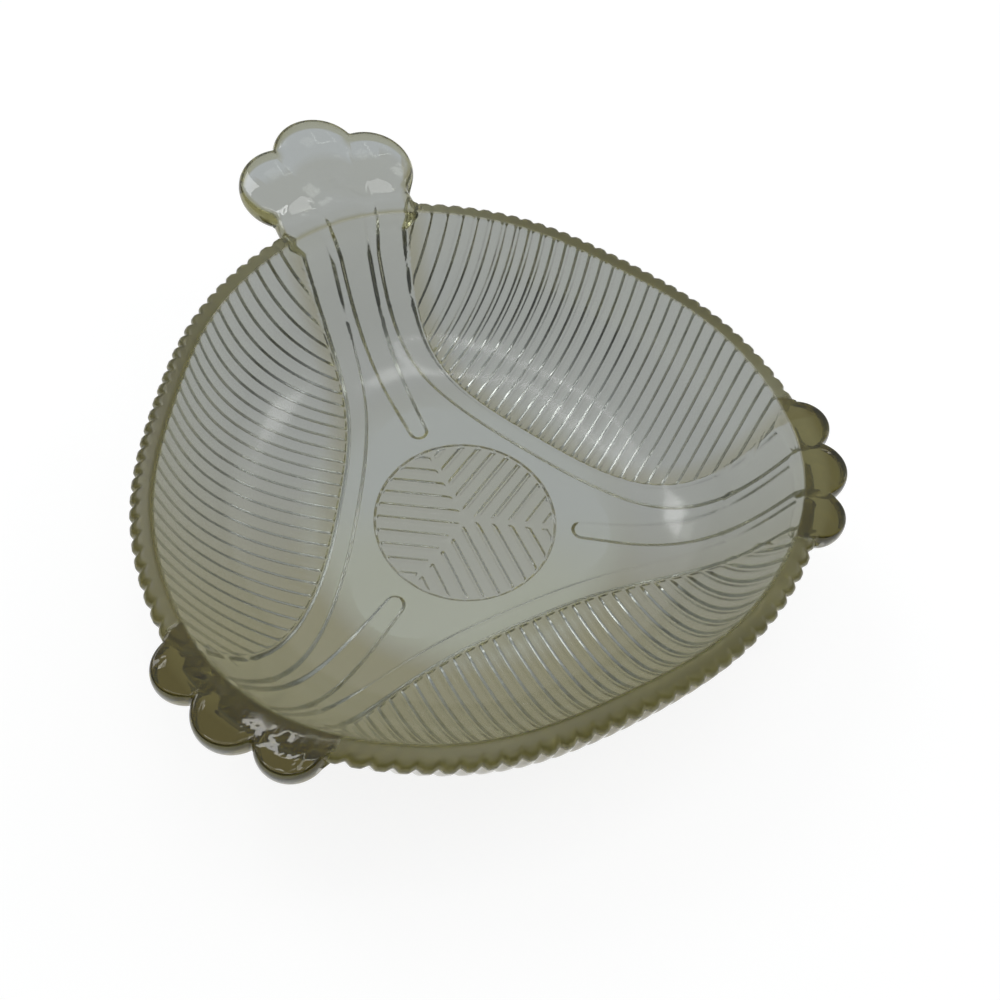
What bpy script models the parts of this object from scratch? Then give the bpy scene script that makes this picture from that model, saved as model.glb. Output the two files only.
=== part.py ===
"""Three-cornered pressed-glass bonbon dish with a trefoil handle and two corner lugs.

The dish is a shallow bowl whose plan is a rounded triangle. Its inside is smooth. Its outside
carries the pressed pattern: three ribbed panels, a border band round each of them, a plain bar
running down each corner, and a hatched medallion under the middle. Every moulded feature is a
named object of its own, parted from its neighbours by a hairline.

Frame: the origin is the middle of the underside, +Z is up and the handle points along +X.
"""

import math
from collections import namedtuple

import bmesh
import bpy
from mathutils import Matrix, Vector

MM = 0.001

# Plan of the rim: the inner edge of the flat top
RIM_MEAN_RADIUS = 66.0 * MM
RIM_CORNER_SWELL = 3.65 * MM
RIM_CORNER_POINT = 0.22 * MM
RIM_HEIGHT = 38.0 * MM

# Glass thickness, without the raised pattern
FLOOR_THICKNESS = 4.4 * MM
WALL_THICKNESS = 4.3 * MM
RELIEF = 0.8 * MM

# Medallion under the middle of the floor
MEDALLION_RADIUS = 22.2 * MM
MEDALLION_RING = 1.3 * MM
HATCH_LAND = 1.0 * MM
HATCH_DEPTH = 0.5 * MM

# Section of the outside on a corner and across a panel. The floor is flat for "flat" past the
# medallion; the heel and the lean, measured in from the outer rim, pull the curve along and up.
CORNER_FLAT = 15.5 * MM
CORNER_HEEL = 15.5 * MM
CORNER_LEAN = 7.3 * MM
CORNER_LEAN_HEIGHT = 15.3 * MM
PANEL_FLAT = 1.7 * MM
PANEL_HEEL = 17.0 * MM
PANEL_LEAN = 0.6 * MM
PANEL_LEAN_HEIGHT = 11.8 * MM
HEEL_RISE = 0.3 * MM
RIM_LAND_SHARE = 0.2

# Ribs and medallion hatching, which share one pitch
RIB_PITCH = 3.4 * MM
RIB_HEIGHT = 0.55 * MM
RIB_VALLEY_WIDTH = 1.0 * MM

# Corner bar, from its round tip beside the medallion up to the rim
BAR_GAP = 3.6 * MM
BAR_FLOOR_WIDTH = 5.2 * MM
BAR_RIM_WIDTH = 6.8 * MM
BAR_FLAT_SHARE = 0.72
BAR_TIP_RADIUS = MEDALLION_RADIUS + BAR_GAP

# Border band: its place and width on the middle line of a panel, and beside the bar at the rim
BAND_GAP = 3.4 * MM
BAND_WIDTH = 5.4 * MM
BAND_RIM_WIDTH = 8.1 * MM
GROOVE_WIDTH = 2.9 * MM
BAND_INNER_SWEEP = 2.65
BAND_OUTER_SWEEP = 2.85
BAND_BEVEL_SHARE = 0.12
BAND_INNER_REACH = MEDALLION_RADIUS + BAND_GAP
BAND_OUTER_REACH = BAND_INNER_REACH + BAND_WIDTH
BAND_INNER_OFFSET = 0.5 * BAR_RIM_WIDTH + GROOVE_WIDTH
BAND_OUTER_OFFSET = BAND_INNER_OFFSET + BAND_RIM_WIDTH

# Trefoil handle: a middle lobe, two side lobes and a neck, tilted up from the rim
HANDLE_THICKNESS = 5.0 * MM
HANDLE_TILT = math.radians(10.0)
HANDLE_MIDDLE_REACH = 18.1 * MM
HANDLE_MIDDLE_RADIUS = 10.8 * MM
HANDLE_SIDE_REACH = 11.1 * MM
HANDLE_SIDE_SPREAD = 10.5 * MM
HANDLE_SIDE_RADIUS = 11.0 * MM
HANDLE_NECK_WIDTH = 35.4 * MM

# Corner lugs: the same three lobes, small and thick
LUG_THICKNESS = 5.4 * MM
LUG_TILT = math.radians(8.0)
LUG_MIDDLE_REACH = -2.3 * MM
LUG_MIDDLE_RADIUS = 7.4 * MM
LUG_SIDE_REACH = -3.6 * MM
LUG_SIDE_SPREAD = 11.6 * MM
LUG_SIDE_RADIUS = 6.6 * MM
LUG_NECK_WIDTH = 34.4 * MM

# Edges of the tabs, and how deep inside the bowl their necks start before they are trimmed to it
HANDLE_EDGE_ROUND = 1.8 * MM
LUG_EDGE_ROUND = 2.3 * MM
EDGE_ROUND_LIMIT = 0.45
LOBE_STEP = 0.2 * MM
TAB_ROOT = 9.0 * MM
PARTING = 0.3 * MM

# Fineness of the meshes
PANEL_ROWS = 6
BAND_STEPS = 36
BAR_STEPS = 12
BAR_TIP_STEPS = 4
FLOOR_ROWS = 3
FLOOR_RING_STEPS = 5
FLOOR_TIP_STEPS = 5
FLOOR_GROOVE_STEPS = 9
TIP_STEP = 0.02 * MM
GROOVE_END_SHARE = 0.2
DISC_SIDES = 64
LOBE_SIDES = 32
PLUG_SIDES = 180
PLUG_RINGS = 5
EDGE_STEPS = 2
ROOT_HALVINGS = 48
SMOOTH_BELOW = math.radians(35.0)

THIRD_TURN = math.radians(120.0)
HALF_SECTOR = math.radians(60.0)
STRAW_GLASS = (0.74, 0.73, 0.62, 1.0)

Lobe = namedtuple("Lobe", "reach spread radius")
Tab = namedtuple("Tab", "middle side neck_width thickness edge_round tilt")


def blend(low, high, share):
    """Value between low and high."""
    return low + (high - low) * share


def smooth_step(value):
    """Ease from 0 to 1, held outside that range."""
    value = min(max(value, 0.0), 1.0)
    return value * value * (3.0 - 2.0 * value)


def find_root(function, low, high):
    """Point where a rising function crosses zero, by halving."""
    for _ in range(ROOT_HALVINGS):
        middle = 0.5 * (low + high)
        if function(middle) < 0.0:
            low = middle
        else:
            high = middle
    return 0.5 * (low + high)


def outer_rim(angle):
    """Plan radius of the outside at the rim, without ribs; angle 0 is the handle corner."""
    swell = RIM_CORNER_SWELL * math.cos(3.0 * angle)
    point = RIM_CORNER_POINT * math.cos(9.0 * angle)
    return RIM_MEAN_RADIUS + swell + point + WALL_THICKNESS


def section(angle):
    """Four control points (radius, height) of the outside's section at a plan angle."""
    corner = 0.5 + 0.5 * math.cos(3.0 * angle)
    rim = outer_rim(angle)
    flat = MEDALLION_RADIUS + blend(PANEL_FLAT, CORNER_FLAT, corner)
    heel = rim - blend(PANEL_HEEL, CORNER_HEEL, corner)
    lean = rim - blend(PANEL_LEAN, CORNER_LEAN, corner)
    lean_height = blend(PANEL_LEAN_HEIGHT, CORNER_LEAN_HEIGHT, corner)
    return (flat, RELIEF), (heel, RELIEF + HEEL_RISE), (lean, lean_height), (rim, RIM_HEIGHT)


def bezier(points, axis, t):
    """One coordinate of a cubic Bezier curve."""
    s = 1.0 - t
    a, b, c, d = (point[axis] for point in points)
    return s * s * s * a + 3.0 * s * s * t * b + 3.0 * s * t * t * c + t * t * t * d


def bezier_slope(points, t):
    """Rise angle of a cubic Bezier section."""
    s = 1.0 - t
    rates = []
    for axis in (0, 1):
        a, b, c, d = (point[axis] for point in points)
        rates.append(s * s * (b - a) + 2.0 * s * t * (c - b) + t * t * (d - c))
    return math.atan2(rates[1], rates[0])


def on_dish(x, y, lift):
    """Point at a distance outside the dish's plain outside, over the plan point (x, y).

    A lift below zero is inside the glass, and one of minus the thickness is the smooth inside.
    Near the rim the direction turns level, so that the top of the rim is flat.
    """
    angle = math.atan2(y, x)
    radius = math.hypot(x, y)
    points = section(angle)
    height, slope = RELIEF, 0.0
    if radius > points[0][0]:
        t = find_root(lambda value: bezier(points, 0, value) - radius, 0.0, 1.0)
        height = bezier(points, 1, t)
        slope = bezier_slope(points, t)
    share = (height - RELIEF) / (RIM_HEIGHT - RELIEF)
    slope = blend(slope, 0.5 * math.pi, smooth_step((share - 1.0 + RIM_LAND_SHARE) / RIM_LAND_SHARE))
    reach = radius + lift * math.sin(slope)
    return Vector((reach * math.cos(angle), reach * math.sin(angle), height - lift * math.cos(slope)))


def glass_depth(x, y):
    """Thickness of the glass under the pattern at a plan point of the outside."""
    share = math.hypot(x, y) / outer_rim(math.atan2(y, x))
    return blend(FLOOR_THICKNESS, WALL_THICKNESS, share)


def rim_end(offset):
    """Rim point, in a panel's own axes, that lies at a distance from the corner's middle line."""
    turn = find_root(lambda angle: outer_rim(angle) * math.sin(angle) - offset, 0.0, HALF_SECTOR)
    rim = outer_rim(turn)
    return rim * math.cos(HALF_SECTOR - turn), rim * math.sin(HALF_SECTOR - turn)


def rim_across(v):
    """Distance of the outer rim along a panel's middle line direction, at v across it."""

    def past(angle):
        return outer_rim(HALF_SECTOR - angle) * math.sin(angle) - abs(v)

    turn = find_root(past, 0.0, HALF_SECTOR)
    return outer_rim(HALF_SECTOR - turn) * math.cos(turn)


def sweep_edge(reach, offset, sweep, v):
    """Edge line of a border band: level at the panel's middle, sweeping up into the corner."""
    end_u, end_v = rim_end(offset)
    return reach + (end_u - reach) * (abs(v) / end_v) ** sweep


def panel_edge(v):
    """Band edge on the panel's side."""
    return sweep_edge(BAND_OUTER_REACH, BAND_OUTER_OFFSET, BAND_OUTER_SWEEP, v)


def floor_edge(v):
    """Band edge on the floor's side."""
    return sweep_edge(BAND_INNER_REACH, BAND_INNER_OFFSET, BAND_INNER_SWEEP, v)


def from_panel_axes(u, v):
    """Plan point of panel coordinates for the panel that follows the handle corner."""
    cos_turn, sin_turn = math.cos(HALF_SECTOR), math.sin(HALF_SECTOR)
    return u * cos_turn - v * sin_turn, u * sin_turn + v * cos_turn


def bar_half_width(reach):
    """Half width of a corner bar at a distance from the dish's middle, with a round tip."""
    run = reach - BAR_TIP_RADIUS
    share = run / (outer_rim(0.0) - BAR_TIP_RADIUS)
    half = 0.5 * blend(BAR_FLOOR_WIDTH, BAR_RIM_WIDTH, share)
    short = min(max(1.0 - run / half, 0.0), 1.0)
    return half * math.sqrt(1.0 - short * short)


def mesh_from(bm, name):
    """Mesh data block of a finished bmesh, smooth but for its sharp edges."""
    mesh = bpy.data.meshes.new(name)
    bm.to_mesh(mesh)
    bm.free()
    mesh.shade_smooth()
    mesh.set_sharp_from_angle(angle=SMOOTH_BELOW)
    return mesh


def bent_slab(name, columns, rows, place):
    """Mesh of a flat two-sided slab of quads, each point moved by place(column, row, side)."""
    bm = bmesh.new()
    bmesh.ops.create_grid(bm, x_segments=columns, y_segments=rows, size=0.5)
    outside = bmesh.ops.extrude_face_region(bm, geom=bm.faces[:])
    for item in outside["geom"]:
        if isinstance(item, bmesh.types.BMVert):
            item.co.z = 1.0
    for vert in bm.verts:
        column = round((vert.co.x + 0.5) * columns)
        row = round((vert.co.y + 0.5) * rows)
        vert.co = place(column, row, vert.co.z > 0.5)
    bmesh.ops.recalc_face_normals(bm, faces=bm.faces[:])
    if bm.calc_volume(signed=True) < 0.0:
        bmesh.ops.reverse_faces(bm, faces=bm.faces[:])
    return mesh_from(bm, name)


def panel_stations():
    """Places across a panel, with how high the ribs stand there, from tip to tip."""
    tip = rim_end(BAND_OUTER_OFFSET)[1] - RIB_PITCH
    half_crest = 0.5 * (RIB_PITCH - RIB_VALLEY_WIDTH)
    count = int((tip - 0.5 * RIB_PITCH) / RIB_PITCH)
    stations = []
    for rib in range(-count, count + 1):
        middle = rib * RIB_PITCH
        stations.append((middle - 0.5 * RIB_PITCH, 0.0))
        stations.append((middle - half_crest, 1.0))
        stations.append((middle + half_crest, 1.0))
    last = (count + 0.5) * RIB_PITCH
    end = rim_end(BAND_OUTER_OFFSET)[1] - 2.0 * PARTING
    middle = 0.5 * (last + end)
    return [(-end, 0.0), (-middle, 1.0)] + stations + [(last, 0.0), (middle, 1.0), (end, 0.0)]


def panel_mesh():
    """Ribbed panel between its border band and the rim; the ribs run side by side, all one way."""
    stations = panel_stations()

    def place(column, row, outside):
        v, rib = stations[column]
        low = panel_edge(v) + 0.5 * PARTING
        high = rim_across(v)
        u = blend(low, high, math.sin(0.5 * math.pi * row / PANEL_ROWS))
        x, y = from_panel_axes(u, v)
        return on_dish(x, y, RIB_HEIGHT * rib if outside else -glass_depth(x, y))

    return bent_slab("ribbed_panel", len(stations) - 1, PANEL_ROWS, place)


def band_mesh():
    """Border band of one panel, from rim to rim, with a raised flat face and bevelled edges."""
    shares = (0.0, BAND_BEVEL_SHARE, 1.0 - BAND_BEVEL_SHARE, 1.0)
    lifts = (0.0, RELIEF, RELIEF, 0.0)

    def place(column, row, outside):
        share = shares[row]
        reach = blend(BAND_INNER_REACH + 0.5 * PARTING, BAND_OUTER_REACH - 0.5 * PARTING, share)
        offset = blend(BAND_INNER_OFFSET + 0.5 * PARTING, BAND_OUTER_OFFSET - 0.5 * PARTING, share)
        sweep = blend(BAND_INNER_SWEEP, BAND_OUTER_SWEEP, share)
        v = rim_end(offset)[1] * math.sin(math.pi * (column / BAND_STEPS - 0.5))
        x, y = from_panel_axes(sweep_edge(reach, offset, sweep, v), v)
        return on_dish(x, y, lifts[row] if outside else -glass_depth(x, y))

    return bent_slab("border_band", BAND_STEPS, len(shares) - 1, place)


def bar_stations():
    """Distances from the dish's middle along a bar: round its tip, then up to the rim."""
    half = 0.5 * BAR_FLOOR_WIDTH
    turns = [0.5 * math.pi * step / BAR_TIP_STEPS for step in range(1, BAR_TIP_STEPS + 1)]
    stations = [BAR_TIP_RADIUS + half * (1.0 - math.cos(turn)) for turn in turns]
    first = stations[-1]
    stations += [blend(first, outer_rim(0.0), step / BAR_STEPS) for step in range(1, BAR_STEPS + 1)]
    return stations


def bar_mesh():
    """Bar down the middle of a corner, raised from the groove on each side of it."""
    across = (-1.0, -BAR_FLAT_SHARE, BAR_FLAT_SHARE, 1.0)
    lifts = (0.0, RELIEF, RELIEF, 0.0)
    stations = bar_stations()

    def place(column, row, outside):
        reach = stations[column]
        y = (bar_half_width(reach) - 0.5 * PARTING) * across[row]
        x = min(reach, math.sqrt(outer_rim(0.0) ** 2 - y * y))
        return on_dish(x, y, lifts[row] if outside else -glass_depth(x, y))

    return bent_slab("corner_bar", len(stations) - 1, len(across) - 1, place)


def bar_tip_v():
    """Place across a panel where a line along the panel just grazes the round tip of a bar."""
    half = 0.5 * (BAR_FLOOR_WIDTH + PARTING)
    along = BAR_TIP_RADIUS + 0.5 * BAR_FLOOR_WIDTH - half / math.sin(HALF_SECTOR)
    return along * math.sin(HALF_SECTOR)


def floor_start(v):
    """Inner edge of a floor web at v: the medallion, then the corner's middle line or its bar."""
    along = abs(v) / math.sin(HALF_SECTOR)
    clear = 0.5 * PARTING

    def past_bar(aside):
        return aside - 0.5 * PARTING - bar_half_width(along + aside / math.tan(HALF_SECTOR))

    if abs(v) >= bar_tip_v():
        clear = find_root(past_bar, 0.25 * (BAR_FLOOR_WIDTH + PARTING), max(BAR_FLOOR_WIDTH, BAR_RIM_WIDTH))
    start = (abs(v) * math.cos(HALF_SECTOR) + clear) / math.sin(HALF_SECTOR)
    edge = MEDALLION_RADIUS + 0.5 * PARTING
    if abs(v) < edge:
        start = max(start, math.sqrt(edge * edge - v * v))
    return start


def floor_stations():
    """Places across a floor web, from corner to corner, close together round the bars' tips."""
    ring = MEDALLION_RADIUS * math.sin(HALF_SECTOR)
    tip = bar_tip_v()
    shoulder = tip + 0.5 * BAR_FLOOR_WIDTH
    end = rim_end(blend(0.5 * BAR_RIM_WIDTH, BAND_INNER_OFFSET, GROOVE_END_SHARE))[1]
    stretches = (
        (0.0, ring, FLOOR_RING_STEPS),
        (ring, tip - TIP_STEP, 1),
        (tip, shoulder, FLOOR_TIP_STEPS),
        (shoulder, end, FLOOR_GROOVE_STEPS),
    )
    stations = []
    for low, high, steps in stretches:
        stations += [blend(low, high, step / steps) for step in range(steps + 1)]
    stations = sorted(set(stations))
    return [-v for v in reversed(stations[1:])] + stations


def floor_mesh():
    """Plain web of floor between the medallion, two bars and a band, up both grooves to the rim."""
    stations = floor_stations()

    def place(column, row, outside):
        v = stations[column]
        low = floor_start(v)
        high = min(floor_edge(v) - 0.5 * PARTING, rim_across(v))
        x, y = from_panel_axes(blend(low, high, row / FLOOR_ROWS), v)
        return on_dish(x, y, 0.0 if outside else -glass_depth(x, y))

    return bent_slab("floor_web", len(stations) - 1, FLOOR_ROWS, place)


def hatch_lines():
    """Start and end, in panel axes, of each hatch groove in one third of the medallion."""
    field = MEDALLION_RADIUS - MEDALLION_RING
    count = int(field / RIB_PITCH)
    for step in range(-count, count):
        v = (step + 0.5) * RIB_PITCH
        start = abs(v) / math.tan(HALF_SECTOR) + HATCH_LAND / math.sin(HALF_SECTOR)
        if abs(v) < field and math.sqrt(field * field - v * v) > start + RIB_PITCH:
            yield start, math.sqrt(field * field - v * v), v


def hatch_cutter_mesh():
    """Square rods laid on edge under the medallion, one for each hatch groove."""
    bm = bmesh.new()
    side = HATCH_DEPTH * math.sqrt(2.0)
    for third in range(3):
        turn = Matrix.Rotation(HALF_SECTOR + third * THIRD_TURN, 4, "Z")
        for start, end, v in hatch_lines():
            place = Matrix.Translation((0.5 * (start + end), v, 0.0))
            on_edge = Matrix.Rotation(0.25 * math.pi, 4, "X")
            size = Matrix.Diagonal((end - start, side, side, 1.0))
            bmesh.ops.create_cube(bm, size=1.0, matrix=turn @ place @ on_edge @ size)
    return mesh_from(bm, "hatch_cutters")


def medallion_mesh():
    """Plain disc of the medallion, before its hatching is cut."""
    depth = RELIEF + FLOOR_THICKNESS
    radius = MEDALLION_RADIUS - 0.5 * PARTING
    bm = bmesh.new()
    bmesh.ops.create_cone(bm, cap_ends=True, segments=DISC_SIDES, radius1=radius, radius2=radius, depth=depth,
                          matrix=Matrix.Translation((0.0, 0.0, 0.5 * depth)))
    return mesh_from(bm, "medallion")


def soften(bm, edges, size, thickness):
    """Round some edges of a bmesh, as far as its thickness allows."""
    size = min(size, EDGE_ROUND_LIMIT * thickness)
    bmesh.ops.bevel(bm, geom=edges, offset=size, segments=EDGE_STEPS, profile=0.5, affect="EDGES")


def lobe_mesh(radius, thickness, edge_round):
    """Round flat lobe with rounded edges, its mid-height at height 0."""
    bm = bmesh.new()
    bmesh.ops.create_cone(bm, cap_ends=True, segments=LOBE_SIDES, radius1=radius, radius2=radius,
                          depth=thickness)
    rims = [edge for edge in bm.edges if edge.verts[0].co.z == edge.verts[1].co.z]
    soften(bm, rims, edge_round, thickness)
    return mesh_from(bm, "lobe")


def neck_mesh(length, width, thickness, edge_round):
    """Block that carries the lobes, from the middle of its inner end, its mid-height at height 0."""
    bm = bmesh.new()
    size = Matrix.Diagonal((length, width, thickness, 1.0))
    bmesh.ops.create_cube(bm, size=1.0, matrix=Matrix.Translation((0.5 * length, 0.0, 0.0)) @ size)
    sides = [edge for edge in bm.edges if edge.verts[0].co.x != edge.verts[1].co.x]
    soften(bm, sides, edge_round, thickness)
    return mesh_from(bm, "neck")


def wall_reach(angle, height):
    """Plan radius of the plain outside at a height; above the rim it stays as at the rim."""
    points = section(angle)
    t = find_root(lambda value: bezier(points, 1, value) - min(height, RIM_HEIGHT), 0.0, 1.0)
    return bezier(points, 0, t)


def bowl_plug_mesh():
    """Plug of the bowl's upper half and the space over it, a parting larger, that trims the tabs."""
    heights = [RIM_HEIGHT * blend(0.5, 1.0, ring / (PLUG_RINGS - 1)) for ring in range(PLUG_RINGS)]
    heights.append(2.0 * RIM_HEIGHT)
    bm = bmesh.new()
    bmesh.ops.create_cone(bm, cap_ends=True, segments=PLUG_SIDES, radius1=1.0, radius2=1.0, depth=1.0)
    uprights = [edge for edge in bm.edges if edge.verts[0].co.z != edge.verts[1].co.z]
    bmesh.ops.subdivide_edges(bm, edges=uprights, cuts=PLUG_RINGS - 1, use_grid_fill=True)
    for vert in bm.verts:
        angle = math.atan2(vert.co.y, vert.co.x)
        height = heights[round((vert.co.z + 0.5) * PLUG_RINGS)]
        reach = wall_reach(angle, height) + RELIEF + PARTING
        vert.co = (reach * math.cos(angle), reach * math.sin(angle), height)
    return mesh_from(bm, "bowl_plug")


def glass_material():
    """Faintly straw-coloured clear glass."""
    material = bpy.data.materials.new("straw_glass")
    material.use_nodes = True
    shader = material.node_tree.nodes["Principled BSDF"]
    shader.inputs["Base Color"].default_value = STRAW_GLASS
    shader.inputs["Roughness"].default_value = 0.04
    shader.inputs["Metallic"].default_value = 0.0
    shader.inputs["Transmission Weight"].default_value = 1.0
    return material


class DishBuilder:
    """Places the dish's parts in their collection, each turned to its own corner or side."""

    def __init__(self):
        self.parts = self.collection("bonbon_dish")
        self.cutters = self.collection("bonbon_dish_cutters")
        self.material = glass_material()
        self.dish = bpy.data.objects.new("dish_middle", None)
        self.parts.objects.link(self.dish)
        self.plug = self.add_cutter("bowl_plug", bowl_plug_mesh(), Matrix.Identity(4))

    @staticmethod
    def collection(name):
        """New collection in the scene."""
        made = bpy.data.collections.new(name)
        bpy.context.scene.collection.children.link(made)
        return made

    def add(self, name, data, turn=0.0):
        """Put one part in the dish, turned about its upright middle."""
        if not data.materials:
            data.materials.append(self.material)
        part = bpy.data.objects.new(name, data)
        part.rotation_euler.z = turn
        part.parent = self.dish
        self.parts.objects.link(part)
        return part

    def add_thirds(self, names, data):
        """Put the same part in three times, a third of a turn apart."""
        for third, name in enumerate(names):
            self.add(name, data, third * THIRD_TURN)

    def add_cutter(self, name, data, place):
        """Put in a hidden shape that is joined to a part or cut from one."""
        cutter = bpy.data.objects.new(name, data)
        cutter.matrix_world = place
        cutter.hide_render = True
        cutter.display_type = "WIRE"
        self.cutters.objects.link(cutter)
        return cutter

    def add_tab(self, name, tab, turn):
        """Put a three-lobed tab on a corner: its lobes joined to its neck, and trimmed at the rim."""
        root = outer_rim(0.0) + RELIEF
        lobes = (tab.middle, tab.side, tab.side._replace(spread=-tab.side.spread))
        hinge = Matrix.Rotation(turn, 4, "Z") @ Matrix.Translation((root, 0.0, RIM_HEIGHT))
        hinge = hinge @ Matrix.Rotation(-tab.tilt, 4, "Y")
        hinge = hinge @ Matrix.Translation((0.0, 0.0, -0.5 * tab.thickness))
        neck_thickness = tab.thickness - len(lobes) * LOBE_STEP
        neck = neck_mesh(TAB_ROOT + tab.side.reach, tab.neck_width, neck_thickness, tab.edge_round)
        part = self.add(name, neck)
        part.matrix_local = hinge @ Matrix.Translation((-TAB_ROOT, 0.0, 0.0))
        for number, lobe in enumerate(lobes):
            place = hinge @ Matrix.Translation((lobe.reach, lobe.spread, 0.0))
            round_lobe = lobe_mesh(lobe.radius, tab.thickness - number * LOBE_STEP, tab.edge_round)
            self.combine(part, self.add_cutter(f"{name}_lobe_{number}", round_lobe, place), "UNION")
        self.combine(part, self.plug, "DIFFERENCE")

    @staticmethod
    def combine(part, shape, operation):
        """Join a hidden shape to a part, or cut it away."""
        modifier = part.modifiers.new(operation.lower(), "BOOLEAN")
        modifier.operation = operation
        modifier.object = shape

    def add_medallion(self):
        """Put in the medallion and cut its hatching."""
        rods = self.add_cutter("hatch_cutters", hatch_cutter_mesh(), Matrix.Identity(4))
        self.combine(self.add("medallion", medallion_mesh()), rods, "DIFFERENCE")


def clear_scene():
    """Remove every object of the scene."""
    for item in list(bpy.data.objects):
        bpy.data.objects.remove(item)


def main():
    """Build the dish."""
    clear_scene()
    dish = DishBuilder()
    sides = ("left", "opposite", "right")
    dish.add_thirds([f"ribbed_panel_{side}" for side in sides], panel_mesh())
    dish.add_thirds([f"border_band_{side}" for side in sides], band_mesh())
    dish.add_thirds([f"floor_web_{side}" for side in sides], floor_mesh())
    dish.add_thirds(["corner_bar_handle", "corner_bar_left", "corner_bar_right"], bar_mesh())
    dish.add_medallion()
    handle = Tab(Lobe(HANDLE_MIDDLE_REACH, 0.0, HANDLE_MIDDLE_RADIUS),
                 Lobe(HANDLE_SIDE_REACH, HANDLE_SIDE_SPREAD, HANDLE_SIDE_RADIUS),
                 HANDLE_NECK_WIDTH, HANDLE_THICKNESS, HANDLE_EDGE_ROUND, HANDLE_TILT)
    dish.add_tab("trefoil_handle", handle, 0.0)
    lug = Tab(Lobe(LUG_MIDDLE_REACH, 0.0, LUG_MIDDLE_RADIUS),
              Lobe(LUG_SIDE_REACH, LUG_SIDE_SPREAD, LUG_SIDE_RADIUS),
              LUG_NECK_WIDTH, LUG_THICKNESS, LUG_EDGE_ROUND, LUG_TILT)
    dish.add_tab("corner_lug_left", lug, THIRD_TURN)
    dish.add_tab("corner_lug_right", lug, 2.0 * THIRD_TURN)


main()
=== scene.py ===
"""Looks of a three-cornered pressed-glass bonbon dish with a trefoil handle and two corner lugs.

The dish is one pressing, so it is shown as one closed piece of glass: a smooth bowl inside and the
pressed pattern outside, with ribbed panels, border bands, corner bars, a hatched medallion and the
three lobed tabs at the corners. Lengths are in metres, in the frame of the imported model: the origin
is the middle of the underside, +Z is up and the handle points along +X. Panel coordinates are u, out
along a panel's middle line from the middle of the dish, and v, across that line.
"""

from __future__ import annotations

import logging
import math
from collections.abc import Callable
from dataclasses import dataclass, field
from enum import Enum

import bmesh
import bpy
import numpy as np
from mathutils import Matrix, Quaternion, Vector

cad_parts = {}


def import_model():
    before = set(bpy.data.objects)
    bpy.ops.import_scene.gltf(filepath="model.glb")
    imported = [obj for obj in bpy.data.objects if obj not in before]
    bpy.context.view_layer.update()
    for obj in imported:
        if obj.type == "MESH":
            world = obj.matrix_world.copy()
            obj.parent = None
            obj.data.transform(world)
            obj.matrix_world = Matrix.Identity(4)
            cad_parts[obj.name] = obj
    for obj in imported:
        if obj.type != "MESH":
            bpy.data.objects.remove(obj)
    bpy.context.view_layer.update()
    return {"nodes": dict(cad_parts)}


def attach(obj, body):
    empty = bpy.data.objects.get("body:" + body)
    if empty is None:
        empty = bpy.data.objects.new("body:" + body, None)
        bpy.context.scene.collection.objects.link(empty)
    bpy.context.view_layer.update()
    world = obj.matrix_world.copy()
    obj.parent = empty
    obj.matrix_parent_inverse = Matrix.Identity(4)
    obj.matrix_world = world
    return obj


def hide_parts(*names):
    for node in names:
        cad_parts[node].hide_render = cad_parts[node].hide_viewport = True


LOG = logging.getLogger("bonbon_dish")
MM = 0.001
SECTOR = math.radians(60.0)
THIRD_TURN = 2.0 * SECTOR
QUARTER_TURN = 0.5 * math.pi
MATERIAL_SLOT = "straw_glass"
HALVINGS = 28
MERGE_DISTANCE = 0.002 * MM
RAMP_SOFTNESS = 0.4
JOIN_BULGE = 0.25
CUBIC_CM = 1e-6

Array = np.ndarray
Color = tuple[float, float, float, float]


class Corner(Enum):
    """The three corners, by how many third turns they lie from the handle."""

    HANDLE = 0
    LEFT = 1
    RIGHT = 2

    def next(self) -> Corner:
        """Corner a third turn further on."""
        return Corner((self.value + 1) % len(Corner))


class Face(Enum):
    """The two faces of a tab, by the side of its middle surface that they lie on."""

    UNDER = -1.0
    UPPER = 1.0


class GlassMask(Enum):
    """Where painted shade darkens the glass's tint, where the medallion is tinted darker, and where the
    glass is less polished, as stored in the mesh.
    """

    LUG = "lug_top_shade_and_ripple"
    LUG_ROOT_SHADE = "lug_root_painted_shade"
    EDGE = "edge_painted_shade"
    WALL = "wall_painted_shade"
    FLOOR = "floor_painted_shade"
    HATCHED = "medallion_darker_tint"
    ROUGH = "rough_glass"


def blend(low: Array, high: Array, share: Array) -> Array:
    """Value between low and high."""
    return low + (high - low) * share


def ease(value: Array) -> Array:
    """Smooth step from 0 to 1, held outside that range."""
    held = np.clip(value, 0.0, 1.0)
    return held * held * (3.0 - 2.0 * held)


def ramp(inside: Array, width: Array) -> Array:
    """Sloping side of a raised part, from 0 to 1, with slightly soft ends."""
    return blend(np.clip(inside / width, 0.0, 1.0), ease(inside / width), RAMP_SOFTNESS)


def rise(value: Array, run: tuple[float, float]) -> Array:
    """Smooth step from 0 at the start of a run to 1 at its end."""
    return ease((value - run[0]) / (run[1] - run[0]))


def steps(count: int) -> Array:
    """Even shares of a stretch, without its start."""
    return np.linspace(0.0, 1.0, count + 1)[1:]


def solve(rising: Callable[[Array], Array], low: Array, high: Array) -> Array:
    """Find where rising functions cross zero, by halving.

    Args:
        rising: function of an array, growing along each element.
        low: lower ends of the search.
        high: upper ends of the search.

    Returns:
        The crossing for each element.
    """
    low, high = np.broadcast_arrays(np.asarray(low, float), np.asarray(high, float))
    low, high = low.copy(), high.copy()
    for _ in range(HALVINGS):
        middle = 0.5 * (low + high)
        short = rising(middle) < 0.0
        low = np.where(short, middle, low)
        high = np.where(short, high, middle)
    return 0.5 * (low + high)


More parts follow.
